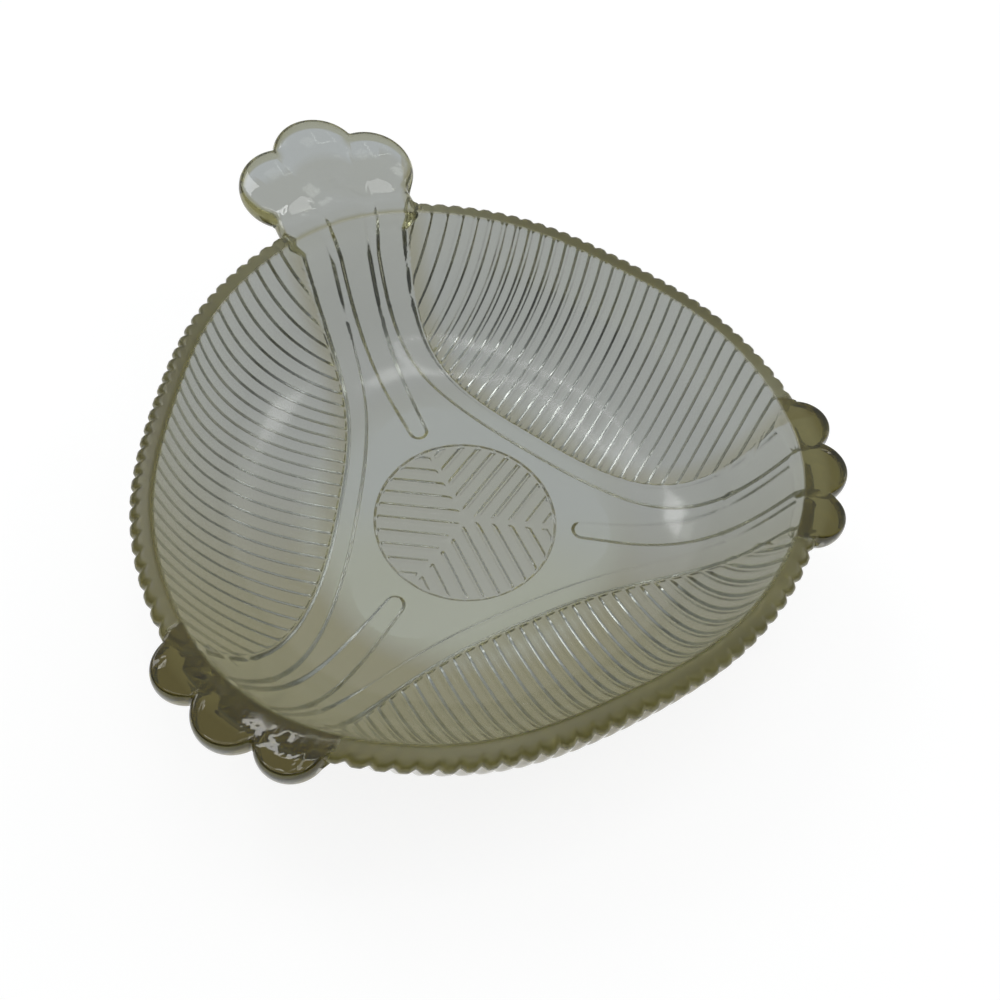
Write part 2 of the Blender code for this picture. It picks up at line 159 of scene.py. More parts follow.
def turned(points: Array, angle: float) -> Array:
    """Turn points about the upright axis.

    Args:
        points: points, with the coordinates on the last axis.
        angle: the turn.

    Returns:
        The turned points.
    """
    cos_turn, sin_turn = math.cos(angle), math.sin(angle)
    x, y = points[..., 0], points[..., 1]
    return np.stack((x * cos_turn - y * sin_turn, x * sin_turn + y * cos_turn, points[..., 2]), axis=-1)


@dataclass(frozen=True)
class BowlForm:
    """Plain outside of the bowl, without its pattern, and the thickness of its glass.

    Pairs of sizes are (on a panel's middle, on a corner).
    """

    rim_radius: float = 66.0 * MM
    corner_swell: float = 3.65 * MM
    corner_point: float = 0.22 * MM
    rim_height: float = 38.0 * MM
    floor_depth: float = 3.9 * MM
    wall_depth: float = 4.3 * MM
    relief: float = 1.3 * MM
    wall_relief: float = 1.9 * MM
    relief_run: tuple[float, float] = (40.0 * MM, 65.0 * MM)
    tab_start: float = 0.8 * MM
    flat: tuple[float, float] = (23.9 * MM, 37.7 * MM)
    heel: tuple[float, float] = (17.0 * MM, 15.5 * MM)
    heel_rise: float = 0.3 * MM
    lean: tuple[float, float] = (0.6 * MM, 7.3 * MM)
    lean_height: tuple[float, float] = (11.8 * MM, 15.3 * MM)
    land_share: float = 0.2

    def outer_rim(self, angle: Array) -> Array:
        """Plan radius of the plain outside at the rim; angle 0 is a corner."""
        swell = self.corner_swell * np.cos(3.0 * angle) + self.corner_point * np.cos(9.0 * angle)
        return self.rim_radius + self.wall_depth + swell

    def section(self, angle: Array) -> tuple[list[Array], list[Array]]:
        """Lay out the section curve from the floor's flat up to the rim.

        Args:
            angle: plan angles; 0 is a corner.

        Returns:
            The radii of its four control points, and their heights.
        """
        corner = 0.5 + 0.5 * np.cos(3.0 * angle)
        rim = self.outer_rim(angle)
        level = np.zeros_like(rim)
        radii = [
            blend(*self.flat, corner),
            rim - blend(*self.heel, corner),
            rim - blend(*self.lean, corner),
            rim,
        ]
        heights = [
            level + self.relief,
            level + self.relief + self.heel_rise,
            blend(*self.lean_height, corner),
            level + self.rim_height,
        ]
        return radii, heights

    @staticmethod
    def curve(points: list[Array], t: Array) -> Array:
        """Follow a cubic curve.

        Args:
            points: one coordinate of its four control points.
            t: shares along the curve.

        Returns:
            That coordinate of the curve.
        """
        s = 1.0 - t
        a, b, c, d = points
        return s**3 * a + 3.0 * s * s * t * b + 3.0 * s * t * t * c + t**3 * d

    @staticmethod
    def rate(points: list[Array], t: Array) -> Array:
        """Find how fast a cubic curve grows, to a constant factor.

        Args:
            points: one coordinate of its four control points.
            t: shares along the curve.

        Returns:
            The growth of that coordinate.
        """
        s = 1.0 - t
        a, b, c, d = points
        return s * s * (b - a) + 2.0 * s * t * (c - b) + t * t * (d - c)

    def lift(self, u: Array, v: Array) -> Array:
        """Height of the raised bands and bars, which are taller on the wall than on the floor."""
        return blend(self.relief, self.wall_relief, rise(np.hypot(u, v), self.relief_run))

    def depth(self, angle: Array, radius: Array) -> Array:
        """Thickness of the glass under the pattern."""
        return blend(self.floor_depth, self.wall_depth, radius / self.outer_rim(angle))

    def place(self, angle: Array, t: Array, lift: Array) -> Array:
        """Place points off the plain outside.

        Args:
            angle: plan angles.
            t: shares along the section curve.
            lift: distances outward; those below zero are in the glass.

        Returns:
            Points, with the coordinates on the last axis.
        """
        radii, heights = self.section(angle)
        slope = np.arctan2(self.rate(heights, t), self.rate(radii, t))
        return self.shifted(angle, self.curve(radii, t), self.curve(heights, t), slope, lift)

    def shifted(self, angle: Array, radius: Array, height: Array, slope: Array, lift: Array) -> Array:
        """Move points off the section along its normal, which turns level near the rim.

        Args:
            angle: plan angles.
            radius: plan radii on the section.
            height: heights on the section.
            slope: how steep the section is there.
            lift: distances outward.

        Returns:
            Points, with the coordinates on the last axis.
        """
        share = (height - self.relief) / (self.rim_height - self.relief)
        slope = blend(slope, QUARTER_TURN, ease((share - 1.0 + self.land_share) / self.land_share))
        reach = radius + lift * np.sin(slope)
        level = height - lift * np.cos(slope)
        return np.stack((reach * np.cos(angle), reach * np.sin(angle), level), axis=-1)

    def share_at_height(self, angle: Array, height: Array) -> Array:
        """Find where the section reaches heights.

        Args:
            angle: plan angles.
            height: the heights.

        Returns:
            Shares along the section curve.
        """
        heights = self.section(angle)[1]
        none = np.zeros_like(angle)
        return solve(lambda t: self.curve(heights, t) - height, none, none + 1.0)

    def radius_at_height(self, angle: Array, height: Array) -> Array:
        """Plan radius where the section reaches a height."""
        return self.curve(self.section(angle)[0], self.share_at_height(angle, height))

    def over(self, x: Array, y: Array, lift: Array) -> Array:
        """Find points off the plain outside over plan points; the flat of the floor is level.

        Args:
            x: plan places along X.
            y: plan places along Y.
            lift: distances outward.

        Returns:
            Points, with the coordinates on the last axis.
        """
        angle, radius = np.arctan2(y, x), np.hypot(x, y)
        radii, heights = self.section(angle)
        none = np.zeros_like(radius)
        t = solve(lambda share: self.curve(radii, share) - radius, none, none + 1.0)
        on_wall = radius > radii[0]
        height = np.where(on_wall, self.curve(heights, t), self.relief)
        slope = np.where(on_wall, np.arctan2(self.rate(heights, t), self.rate(radii, t)), 0.0)
        return self.shifted(angle, radius, height, slope, lift)

    def beside_corner(self, offset: float) -> tuple[float, float]:
        """Find the rim point at a distance from a corner's middle line.

        Args:
            offset: that distance.

        Returns:
            The point's panel coordinates.
        """
        turn = float(solve(lambda angle: self.outer_rim(angle) * np.sin(angle) - offset, 0.0, SECTOR))
        rim = float(self.outer_rim(np.array(turn)))
        return rim * math.cos(SECTOR - turn), rim * math.sin(SECTOR - turn)


@dataclass(frozen=True)
class BandEdge:
    """One edge line of a border band: level at the panel's middle, sweeping up into the corners."""

    bowl: BowlForm
    reach: float
    offset: float
    sweep: float

    def along(self, v: Array) -> Array:
        """Place of the edge along the panel, at places across it."""
        end_u, end_v = self.bowl.beside_corner(self.offset)
        return self.reach + (end_u - self.reach) * (np.abs(v) / end_v) ** self.sweep

    def beyond(self, u: Array, v: Array) -> Array:
        """Measure how far points lie beyond the edge, square to it, seen from the dish's middle.

        Args:
            u: places along the panel.
            v: places across it.

        Returns:
            The distances, below zero on the near side.
        """
        end_u, end_v = self.bowl.beside_corner(self.offset)
        steep = (end_u - self.reach) * self.sweep / end_v * (np.abs(v) / end_v) ** (self.sweep - 1.0)
        return (u - self.along(v)) / np.sqrt(1.0 + steep * steep)


@dataclass(frozen=True)
class RibProfile:
    """Broad ribs side by side with sloping flanks that meet in valleys."""

    pitch: float
    height: float
    flank: float = 1.1 * MM

    def convex(self, v: Array) -> Array:
        """Height of the ribs at a place across them, as a share."""
        from_valley = self.pitch * (0.5 - np.abs((v / self.pitch + 0.5) % 1.0 - 0.5))
        return ramp(from_valley, self.flank)


@dataclass(frozen=True)
class RibbedPanel:
    """Ribs on the wall, all parallel to the panel's middle line."""

    bowl: BowlForm
    profile: RibProfile = RibProfile(pitch=3.4 * MM, height=0.95 * MM)
    end_length: float = 0.5 * MM
    rim_share: float = 0.8
    rim_run: float = 0.06
    full_ribs_each_side: int = 15

    def relief(self, beyond_band: Array, u: Array, v: Array) -> Array:
        """Lift the ribs, which run out against the border band and are lower at the rim.

        Args:
            beyond_band: how far points lie beyond the band's edge.
            u: places along the panel.
            v: places across it.

        Returns:
            The lift of each point.
        """
        rim = self.bowl.outer_rim(np.arctan2(v, u) - SECTOR)
        near_rim = ease((np.hypot(u, v) / rim - 1.0 + self.rim_run) / self.rim_run)
        height = self.profile.height * blend(1.0, self.rim_share, near_rim)
        return height * self.profile.convex(v) * ease(beyond_band / self.end_length)

    def half_width(self) -> float:
        """Distance across the panel from its middle to the last full valley."""
        return (self.full_ribs_each_side + 0.5) * self.profile.pitch


@dataclass(frozen=True)
class BorderBand:
    """Plain raised band between a panel and the floor, from rim to rim."""

    bowl: BowlForm
    floor_edge: BandEdge
    panel_edge: BandEdge
    slope: float = 0.88

    def relief(self, u: Array, v: Array) -> Array:
        """Lift the band, with sloping edges.

        Args:
            u: places along the panel.
            v: places across it.

        Returns:
            The lift of each point.
        """
        lift = self.bowl.lift(u, v)
        floor_side = ease(self.floor_edge.beyond(u, v) / (self.slope * lift))
        panel_side = ease(-self.panel_edge.beyond(u, v) / (self.slope * lift))
        return lift * np.minimum(floor_side, panel_side)


@dataclass(frozen=True)
class CornerBar:
    """Plain bar down the middle of a corner, tapering to a round tip beside the medallion."""

    bowl: BowlForm
    tip_radius: float = 25.8 * MM
    floor_width: float = 5.1 * MM
    rim_width: float = 9.8 * MM
    slope: float = 0.88

    def relief(self, u: Array, v: Array) -> Array:
        """Lift the bar, with sloping edges.

        Args:
            u: places along the panel.
            v: places across it.

        Returns:
            The lift of each point.
        """
        run = u * math.cos(SECTOR) + np.abs(v) * math.sin(SECTOR)
        aside = u * math.sin(SECTOR) - np.abs(v) * math.cos(SECTOR)
        rim = float(self.bowl.outer_rim(np.array(0.0)))
        share = np.clip((run - self.tip_radius) / (rim - self.tip_radius), 0.0, 1.0)
        half = 0.5 * blend(self.floor_width, self.rim_width, share)
        tip = np.minimum(run - self.tip_radius - 0.5 * self.floor_width, 0.0)
        lift = self.bowl.lift(u, v)
        return lift * ease((half - np.hypot(tip, aside)) / (self.slope * lift))


@dataclass(frozen=True)
class Medallion:
    """Round raised medallion with three fields of hatching that meet in lines to the corners."""

    bowl: BowlForm
    profile: RibProfile = RibProfile(pitch=3.65 * MM, height=0.75 * MM, flank=0.8 * MM)
    radius: float = 22.2 * MM
    ring: float = 0.6 * MM
    bevel: float = 0.6 * MM
    land: float = 0.45 * MM
    land_bevel: float = 0.5 * MM

    def relief(self, u: Array, v: Array) -> Array:
        """Lift the medallion, less its hatching.

        Args:
            u: places along the panel.
            v: places across it.

        Returns:
            The lift of each point.
        """
        radius = np.hypot(u, v)
        aside = u * math.sin(SECTOR) - np.abs(v) * math.cos(SECTOR)
        disc = ease((self.radius - radius) / self.bevel)
        field_share = ease((self.radius - self.ring - radius) / self.bevel)
        field_share = field_share * ease((aside - self.land) / self.land_bevel)
        hatching = self.profile.height * field_share * (1.0 - self.profile.convex(v))
        return self.bowl.relief * disc - hatching


@dataclass(frozen=True)
class Lobe:
    """One round lobe of a tab: the end of a bar of glass that starts further in."""

    reach: float
    spread: float
    radius: float
    root: float

    def outside(self, s: Array, across: Array) -> Array:
        """Signed distance outside the lobe, on the side of the tab that it lies on."""
        nearest = np.clip(s, min(self.root, self.reach), self.reach)
        return np.hypot(s - nearest, across - self.spread) - self.radius


@dataclass(frozen=True)
class LobedTab:
    """Three-lobed tab on a corner, flush with the rim where it starts.

    Tab coordinates are s, outward from the corner's rim, and the distance across from its middle.
    """

    lobes: tuple[Lobe, ...]
    pole: float
    neck_half_width: float
    neck_end: float
    thickness: float
    tilt: float
    top_round: float
    under_round: float
    under_drop: float
    under_run: float
    drop_run: float
    dome: float
    under_dome: float
    under_power: float = 2.0
    lip: float = 1.0 * MM
    dome_run: float = 4.0 * MM
    soft: float = 0.6 * MM
    tilt_start: float = 3.0 * MM
    round_limit: float = 0.6
    outline_steps: int = 720
    reach_limit: float = 60.0 * MM

    def inside(self, s: Array, across: Array) -> Array:
        """Measure how far points lie inside the outline, with soft notches between the lobes.

        Args:
            s: places outward.
            across: places across the tab.

        Returns:
            The distances, below zero outside.
        """
        across = np.abs(across)
        parts = [lobe.outside(s, across) for lobe in self.lobes]
        parts.append(np.maximum(across - self.neck_half_width, s - self.neck_end))
        joined = parts[0]
        for part in parts[1:]:
            near = np.maximum(self.soft - np.abs(joined - part), 0.0) / self.soft
            joined = np.minimum(joined, part) - JOIN_BULGE * self.soft * near * near
        return -joined

    def edge_round(self, face: Face) -> float:
        """Width of the rounded edge of a face."""
        return self.top_round if face is Face.UPPER else self.under_round

    def rounding(self, inside: Array, face: Face) -> Array:
        """Share of half the thickness at distances inside the outline."""
        short = 1.0 - np.clip(inside / self.edge_round(face), 0.0, 1.0)
        return np.sqrt(1.0 - short * short)

    def drop(self, inside: Array) -> Array:
        """Extra depth of the underside where it meets the wall, less towards the tab's sides."""
        return self.under_drop * ease(inside / self.drop_run)

    def fall(self, run: Array) -> Array:
        """Share of the underside's extra depth at distances out from the wall."""
        return (1.0 - np.clip(run, 0.0, 1.0)) ** self.under_power

    def middle_height(self, s: Array, rim_height: float) -> Array:
        """Find the height of the tab's middle surface, which turns up from the rim.

        Args:
            s: places outward.
            rim_height: height of the rim.

        Returns:
            The heights.
        """
        out = np.maximum(s + self.tilt_start, 0.0)
        turned_up = math.tan(self.tilt) * (np.sqrt(out * out + self.tilt_start**2) - self.tilt_start)
        return rim_height - 0.5 * self.thickness + turned_up

    def swell(self, s: Array, across: Array) -> Array:
        """Shape the lobes' domed backs, which meet in valleys.

        Args:
            s: places outward.
            across: places across the tab.

        Returns:
            Share of the full dome.
        """
        across = np.abs(across)
        best = np.zeros_like(s)
        for lobe in self.lobes:
            edge_share = 1.0 + np.minimum(lobe.outside(s, across), 0.0) / lobe.radius
            best = np.maximum(best, 1.0 - edge_share**2)
        return best

    def half_outline(self, base: tuple[float, float]) -> tuple[Array, Array]:
        """Lay out half of the tab's outline, from its root to the middle of its tip.

        Args:
            base: point (s, across) where the outline leaves the rim.

        Returns:
            Points (s, across), and the share of the half outline's length at each.
        """
        start = math.atan2(base[1], base[0] - self.pole)
        angle = np.linspace(start, 0.0, self.outline_steps)

        def past(distance: Array) -> Array:
            """How far points at distances from the pole lie outside."""
            return -self.inside(self.pole + distance * np.cos(angle), distance * np.sin(angle))

        distance = solve(past, np.zeros_like(angle), np.full_like(angle, self.reach_limit))
        points = np.stack((self.pole + distance * np.cos(angle), distance * np.sin(angle)), axis=-1)
        share = np.concatenate(([0.0], np.cumsum(np.hypot(*np.diff(points, axis=0).T))))
        return points, share / share[-1]


@dataclass(frozen=True)
class DishFineness:
    """How finely the dish's surface is divided; rib shares are of the ribs' pitch."""

    rib_shares: tuple[float, ...] = (
        0.0, 0.06, 0.12, 0.18, 0.25, 0.33, 0.5, 0.67, 0.75, 0.82, 0.88, 0.94,
    )
    corner_columns: int = 63
    hatch_rows: int = 26
    ring_rows: int = 7
    floor_rows: int = 36
    band_rows: int = 14
    rib_end_rows: int = 6
    panel_rows: int = 20
    wall_rows: int = 44
    tab_rows: int = 10
    tab_edge_rows: int = 9
    base_tries: int = 8
    base_room: float = 1.0 * MM
    round_rows: int = 5
    land_rows: int = 4
    inner_ratio: int = 3
    inner_rows: int = 72
    inner_floor_rows: int = 8


@dataclass(frozen=True)
class MaskRuns:
    """Where the masks of the glass finish start, end and fade.

    The shaded side is the side of the wall and floor that gets the most painted shade; the wall is also
    painted darker at its heel, next to the border band.
    """

    fade: float = 0.4 * MM
    edge_width: float = 1.6 * MM
    tab_root: float = 8.6 * MM
    lug_root: tuple[float, float] = (4.0 * MM, 6.0 * MM)
    # Runs over which painted shade fades in on the wall and fades out on the floor.
    wall: tuple[float, float] = (30.0 * MM, 42.0 * MM)
    floor: tuple[float, float] = (34.0 * MM, 46.0 * MM)
    underside: float = 2.6 * MM
    shaded_side: float = math.radians(149.0)
    shaded_side_run: tuple[float, float] = (-0.35, 0.75)
    least_side_shade: float = 0.35
    heel_shade_share: float = 0.8
    heel_shade_run: float = 11.0 * MM
    inner_rough: float = 0.45


@dataclass
class PressedDish:
    """The whole dish as one closed piece of glass."""

    bowl: BowlForm
    ribs: RibbedPanel
    band: BorderBand
    bar: CornerBar
    medallion: Medallion
    tabs: dict[Corner, LobedTab]
    fineness: DishFineness = DishFineness()
    runs: MaskRuns = MaskRuns()
    turn_height: float = 13.0 * MM
    rim_outer_round: float = 2.2 * MM
    rim_inner_round: float = 0.8 * MM
    rim_inner_drop: float = 1.6 * MM

    def relief(self, u: Array, v: Array) -> Array:
        """Lift the whole pattern.

        Args:
            u: places along the panel.
            v: places across it.

        Returns:
            The lift of each point.
        """
        ribs = self.ribs.relief(self.band.panel_edge.beyond(u, v), u, v)
        raised = np.maximum(ribs, self.band.relief(u, v))
        return raised + self.bar.relief(u, v) + self.medallion.relief(u, v)

    @staticmethod
    def from_panel(u: Array, v: Array) -> tuple[Array, Array]:
        """Plan coordinates of panel coordinates, for the panel that follows the handle corner."""
        cos_turn, sin_turn = math.cos(SECTOR), math.sin(SECTOR)
        return u * cos_turn - v * sin_turn, u * sin_turn + v * cos_turn

    def corner_across(self, height: Array | float) -> Array:
        """Distance across the panel of the corner's middle line at a height on the wall."""
        height = np.asarray(height, float)
        return self.bowl.radius_at_height(np.zeros_like(height), height) * math.sin(SECTOR)

    def columns(self) -> Array:
        """Lay out the grid's columns across a sector, close together on every rib.

        Returns:
            Places across the panel.
        """
        keep = self.ribs.half_width()
        ribs = range(-self.ribs.full_ribs_each_side, self.ribs.full_ribs_each_side + 1)
        places = [
            (rib - 0.5 + share) * self.ribs.profile.pitch
            for rib in ribs
            for share in self.fineness.rib_shares
        ]
        end = float(self.corner_across(self.turn_height))
        corner = np.linspace(keep, end, self.fineness.corner_columns + 1)
        return np.concatenate((-corner[::-1], places[1:], corner))

    def wall_angle(self, v: Array, height: Array) -> Array:
        """Find where the plain wall lies at a place across the panel.

        Args:
            v: places across the panel.
            height: heights on the wall.

        Returns:
            Plan angles, from the handle corner.
        """
        aside = solve(
            lambda turn: self.bowl.radius_at_height(SECTOR - turn, height) * np.sin(turn) - np.abs(v),
            np.zeros_like(v),
            np.full_like(v, SECTOR),
        )
        return SECTOR + np.sign(v) * aside

    def climbing(self, v: Array, height: Array) -> Array:
        """Follow the columns up the wall; the last ones keep to the corner.

        Args:
            v: places of the columns at the turn height.
            height: heights on the wall.

        Returns:
            Their places across the panel at those heights.
        """
        keep = self.ribs.half_width()
        start, now = float(self.corner_across(self.turn_height)), self.corner_across(height)
        stretched = keep + (np.abs(v) - keep) * (now - keep) / (start - keep)
        return np.where(np.abs(v) > keep, np.sign(v) * stretched, v)

    def wall(self, v: Array, height: Array, shrink: Array | float, inner: bool = False) -> Array:
        """Place points of the upper wall along the columns.

        Args:
            v: the columns.
            height: height of each point.
            shrink: how far each point lies inside the face it belongs to.
            inner: whether that is the inner face.

        Returns:
            Points, with the coordinates on the last axis.
        """
        height = np.broadcast_to(height, v.shape).astype(float)
        angle = self.wall_angle(self.climbing(v, height), height)
        t = self.bowl.share_at_height(angle, height)
        radius = self.bowl.curve(self.bowl.section(angle)[0], t)
        if inner:
            lift = shrink - self.bowl.depth(angle, radius)
        else:
            lift = self.relief(radius * np.cos(angle - SECTOR), radius * np.sin(angle - SECTOR)) - shrink
        return self.bowl.place(angle, t, lift)

    def lower_rows(self, v: Array) -> Array:
        """Lay out the underside and lower wall.

        Args:
            v: the columns.

        Returns:
            Points by row, from the corner lines up to the turn height, and by column.
        """
        fine, turn_height = self.fineness, np.full_like(v, self.turn_height)
        angle = self.wall_angle(v, turn_height)
        top = self.bowl.radius_at_height(angle, turn_height) * np.cos(angle - SECTOR)
        start = np.minimum(np.abs(v) / math.tan(SECTOR), top)

        def ring(radius: float) -> Array:
            """Place along the panel of a circle round the middle."""
            return np.clip(np.sqrt(np.maximum(radius * radius - v * v, 0.0)), start, top)

        disc = ring(self.medallion.radius)
        field_edge = ring(self.medallion.radius - self.medallion.ring - self.medallion.bevel)
        floor = np.clip(self.band.floor_edge.along(v), disc, top)
        panel = np.clip(self.band.panel_edge.along(v), floor, top)
        ends = np.minimum(panel + self.ribs.end_length, top)
        waves = 0.5 - 0.5 * np.cos(math.pi * steps(fine.band_rows))
        rises = np.sin(QUARTER_TURN * steps(fine.panel_rows))
        stretches = (
            (start, field_edge, steps(fine.hatch_rows)),
            (field_edge, disc, steps(fine.ring_rows)),
            (disc, floor, steps(fine.floor_rows)),
            (floor, panel, waves),
            (panel, ends, steps(fine.rib_end_rows)),
            (ends, top, rises),
        )
        rows = [start] + [blend(low, high, share) for low, high, shares in stretches for share in shares]
        u = np.stack(rows)
        across = np.broadcast_to(v, u.shape)
        x, y = self.from_panel(u, across)
        return self.bowl.over(x, y, self.relief(u, across))

    def tab_root(self) -> float:
        """Distance from the dish's middle to where tab coordinates start."""
        return float(self.bowl.outer_rim(np.array(0.0))) + self.bowl.tab_start

    def tab_base(self, tab: LobedTab, v: Array, face: Face) -> tuple[Array, Array, Array, Array]:
        """Find where a face of a tab leaves the wall.

        Args:
            tab: the tab of the corner at angle 0.
            v: the columns.
            face: the face.

        Returns:
            Tab coordinates s and across, heights, and a mask of the tab's own columns.
        """
        rim_height = self.bowl.rim_height
        height = np.full_like(v, rim_height - 0.5 * tab.thickness)
        for _ in range(self.fineness.base_tries):
            points = self.wall(v, height, np.zeros_like(v))
            s, across = points[:, 0] - self.tab_root(), points[:, 1]
            inside = np.maximum(tab.inside(s, across), 0.0)
            depth = 0.5 * tab.thickness * tab.rounding(inside, face)
            if face is Face.UNDER:
                depth = depth + tab.drop(inside)
            height = tab.middle_height(np.minimum(s, 0.0), rim_height) + face.value * depth
            height = np.clip(height, self.turn_height + self.fineness.base_room, rim_height)
        return s, across, height, tab.inside(s, across) > 0.0

    def tab_face(
        self, tab: LobedTab, face: Face, base: tuple[Array, Array, Array], tip: tuple[Array, Array]
    ) -> list[Array]:
        """Lay out one face of a tab, from the wall to the tab's outline.

        Args:
            tab: the tab of the corner at angle 0.
            face: the face.
            base: tab coordinates s and across where the face leaves the wall, and the heights there.
            tip: tab coordinates s and across on the outline.

        Returns:
            The rows of points.
        """
        s_base, across_base, base_height = base
        tip_s, tip_across = tip
        length = np.hypot(tip_s - s_base, tip_across - across_base) + MERGE_DISTANCE
        drop = tab.drop(np.maximum(tab.inside(s_base, across_base), 0.0))
        edge = np.minimum(tab.edge_round(face), tab.round_limit * length) / length
        flat_rows = self.fineness.tab_rows
        runs = [(1.0 - edge) * step / flat_rows for step in range(flat_rows)]
        turns = np.linspace(QUARTER_TURN, 0.0, self.fineness.tab_edge_rows + 1)
        runs += [1.0 - edge * (1.0 - math.cos(turn)) for turn in turns]
        rows = []
        for run in runs:
            s, across = blend(s_base, tip_s, run), blend(across_base, tip_across, run)
            inside = np.maximum(tab.inside(s, across), 0.0)
            half = 0.5 * tab.thickness * tab.rounding(inside, face)
            z = tab.middle_height(s, self.bowl.rim_height) + face.value * half
            dome = tab.swell(s, across) * ease(run * length / tab.dome_run)
            if face is Face.UPPER:
                z = z + tab.dome * dome
            else:
                z = z - tab.under_dome * dome
                z = z - drop * tab.fall(run * length / np.minimum(tab.under_run, length))
            z = blend(base_height, z, ease(run * length / tab.lip))
            rows.append(np.stack((self.tab_root() + s, across, z), axis=-1))
        return rows

    def tab_rows(self, tab: LobedTab, v: Array) -> tuple[Array, Array, Array]:
        """Lay out half a tab, under it, round its edge and back over it.

        Args:
            tab: the tab of the corner at angle 0.
            v: the columns on that corner's side of the sector, from the corner on.

        Returns:
            The rows of points, and the heights where the wall stops under the tab and goes on over it.
        """
        s_low, across_low, low, own = self.tab_base(tab, v, Face.UNDER)
        s_high, across_high, high, _ = self.tab_base(tab, v, Face.UPPER)
        middle = self.bowl.rim_height - 0.5 * tab.thickness
        low, high = np.where(own, low, middle), np.where(own, high, middle)
        last = int(np.nonzero(own)[0][-1])
        points, length_share = tab.half_outline((s_low[last], across_low[last]))
        share = np.clip(1.0 - across_low / across_low[last], 0.0, 1.0)
        tip = tuple(np.interp(share, length_share, points[:, axis]) for axis in (0, 1))
        under = self.tab_face(tab, Face.UNDER, (s_low, across_low, low), tip)
        upper = self.tab_face(tab, Face.UPPER, (s_high, across_high, high), tip)
        grid = np.stack(under + upper[-2::-1])
        still = self.wall(v, np.full_like(v, middle), np.zeros_like(v))
        return np.where(own[:, None], grid, still), low, high

    def rim_rows(self, v: Array, high: Array) -> list[Array]:
        """Lay out the rim, from the tabs' upper side over its top to its inner edge.

        Args:
            v: the columns.
            high: heights where the wall goes on over the tabs.

        Returns:
            The rows of points.
        """
        fine, rim, none = self.fineness, self.bowl.rim_height, np.zeros_like(v)
        outer = np.minimum(self.rim_outer_round, rim - high)
        rows = []
        for share in steps(fine.round_rows - 1):
            rows.append(self.wall(v, blend(high, rim - outer, share), none))
        for turn in QUARTER_TURN * steps(fine.round_rows):
            shrink = outer * (1.0 - math.cos(turn))
            rows.append(self.wall(v, rim - outer * (1.0 - math.sin(turn)), shrink))
        inner = self.wall(v, none + rim, none + self.rim_inner_round, inner=True)
        rows += [blend(rows[-1], inner, share) for share in steps(fine.land_rows)[:-1]]
        for turn in np.linspace(0.0, QUARTER_TURN, fine.round_rows + 1):
            drop = self.rim_inner_round * (1.0 - math.cos(turn))
            shrink = self.rim_inner_round * (1.0 - math.sin(turn))
            rows.append(self.wall(v, none + rim - drop, none + shrink, inner=True))
        return rows

    def sector_grid(self, corner: Corner) -> Array:
        """Lay out the outside, the tabs and the rim over one third of the dish.

        Args:
            corner: the corner where the sector starts.

        Returns:
            Points by row, from the underside to the inner edge of the rim, and by column.
        """
        v = self.columns()
        half = len(v) // 2
        near = self.tab_rows(self.tabs[corner], v[: half + 1])
        far = self.tab_rows(self.tabs[corner.next()], v[: half + 1])
        mirrored = turned(far[0] * np.array((1.0, -1.0, 1.0)), THIRD_TURN)[:, ::-1]
        tab = np.concatenate((near[0], mirrored[:, 1:]), axis=1)
        low, high = (np.concatenate((near[side], far[side][::-1][1:])) for side in (1, 2))
        shares = steps(self.fineness.wall_rows)[:-1, None]
        across = np.broadcast_to(v, (len(shares), len(v)))
        rows = list(self.lower_rows(v))
        rows += list(self.wall(across, blend(self.turn_height, low, shares), 0.0))
        rows += list(tab)
        rows += self.rim_rows(v, high)
        return turned(np.stack(rows), corner.value * THIRD_TURN)

    def inner_grid(self, edge: Array) -> Array:
        """Lay out the smooth inside of the bowl below the rim.

        Args:
            edge: points of the rim's inner edge that the grid hangs from.

        Returns:
            Points by row, from the wall's top to the rim of the floor's last ring, and by column.
        """
        fine = self.fineness
        angle = np.arctan2(edge[:, 1], edge[:, 0])
        top = np.full_like(angle, self.bowl.rim_height - self.rim_inner_drop)
        start = self.bowl.share_at_height(angle, top)
        rows = []
        for share in np.linspace(1.0, 0.0, fine.inner_rows):
            t = start * share
            radius = self.bowl.curve(self.bowl.section(angle)[0], t)
            rows.append(self.bowl.place(angle, t, -self.bowl.depth(angle, radius)))
        last = rows[-1]
        for share in np.linspace(1.0, 0.0, fine.inner_floor_rows + 1)[1:-1]:
            rows.append(last * np.array((share, share, 1.0)))
        return np.stack(rows)

    def build(self, name: str) -> bpy.types.Object:
        """Make the dish's closed mesh.

        Args:
            name: name of the piece.

        Returns:
            The object, linked to the scene.
        """
        shell = MeshShell()
        for corner in Corner:
            grid = self.sector_grid(corner)
            numbers = shell.add_points(grid)
            shell.add_quads(numbers)
            inside = self.inner_grid(grid[-1, :: self.fineness.inner_ratio])
            inner_numbers = shell.add_points(inside)
            shell.add_steps(numbers[-1], inner_numbers[0], self.fineness.inner_ratio)
            shell.add_quads(inner_numbers)
            centre = np.array([[0.0, 0.0, inside[-1, 0, 2]]])
            shell.add_fan(inner_numbers[-1], shell.add_points(centre)[0])
        return shell.to_object(name)

    def dress(self, made: bpy.types.Object, finish: GlassFinish) -> None:
        """Give the dish its finish, with the masks that the finish reads.

        Args:
            made: the dish's object.
            finish: the finish.
        """
        places = np.zeros(3 * len(made.data.vertices))
        made.data.vertices.foreach_get("co", places)
        for mask, values in self.masks(places.reshape(-1, 3)).items():
            layer = made.data.attributes.new(mask.value, "FLOAT", "POINT")
            layer.data.foreach_set("value", values)
        made.data.materials.append(finish.material())

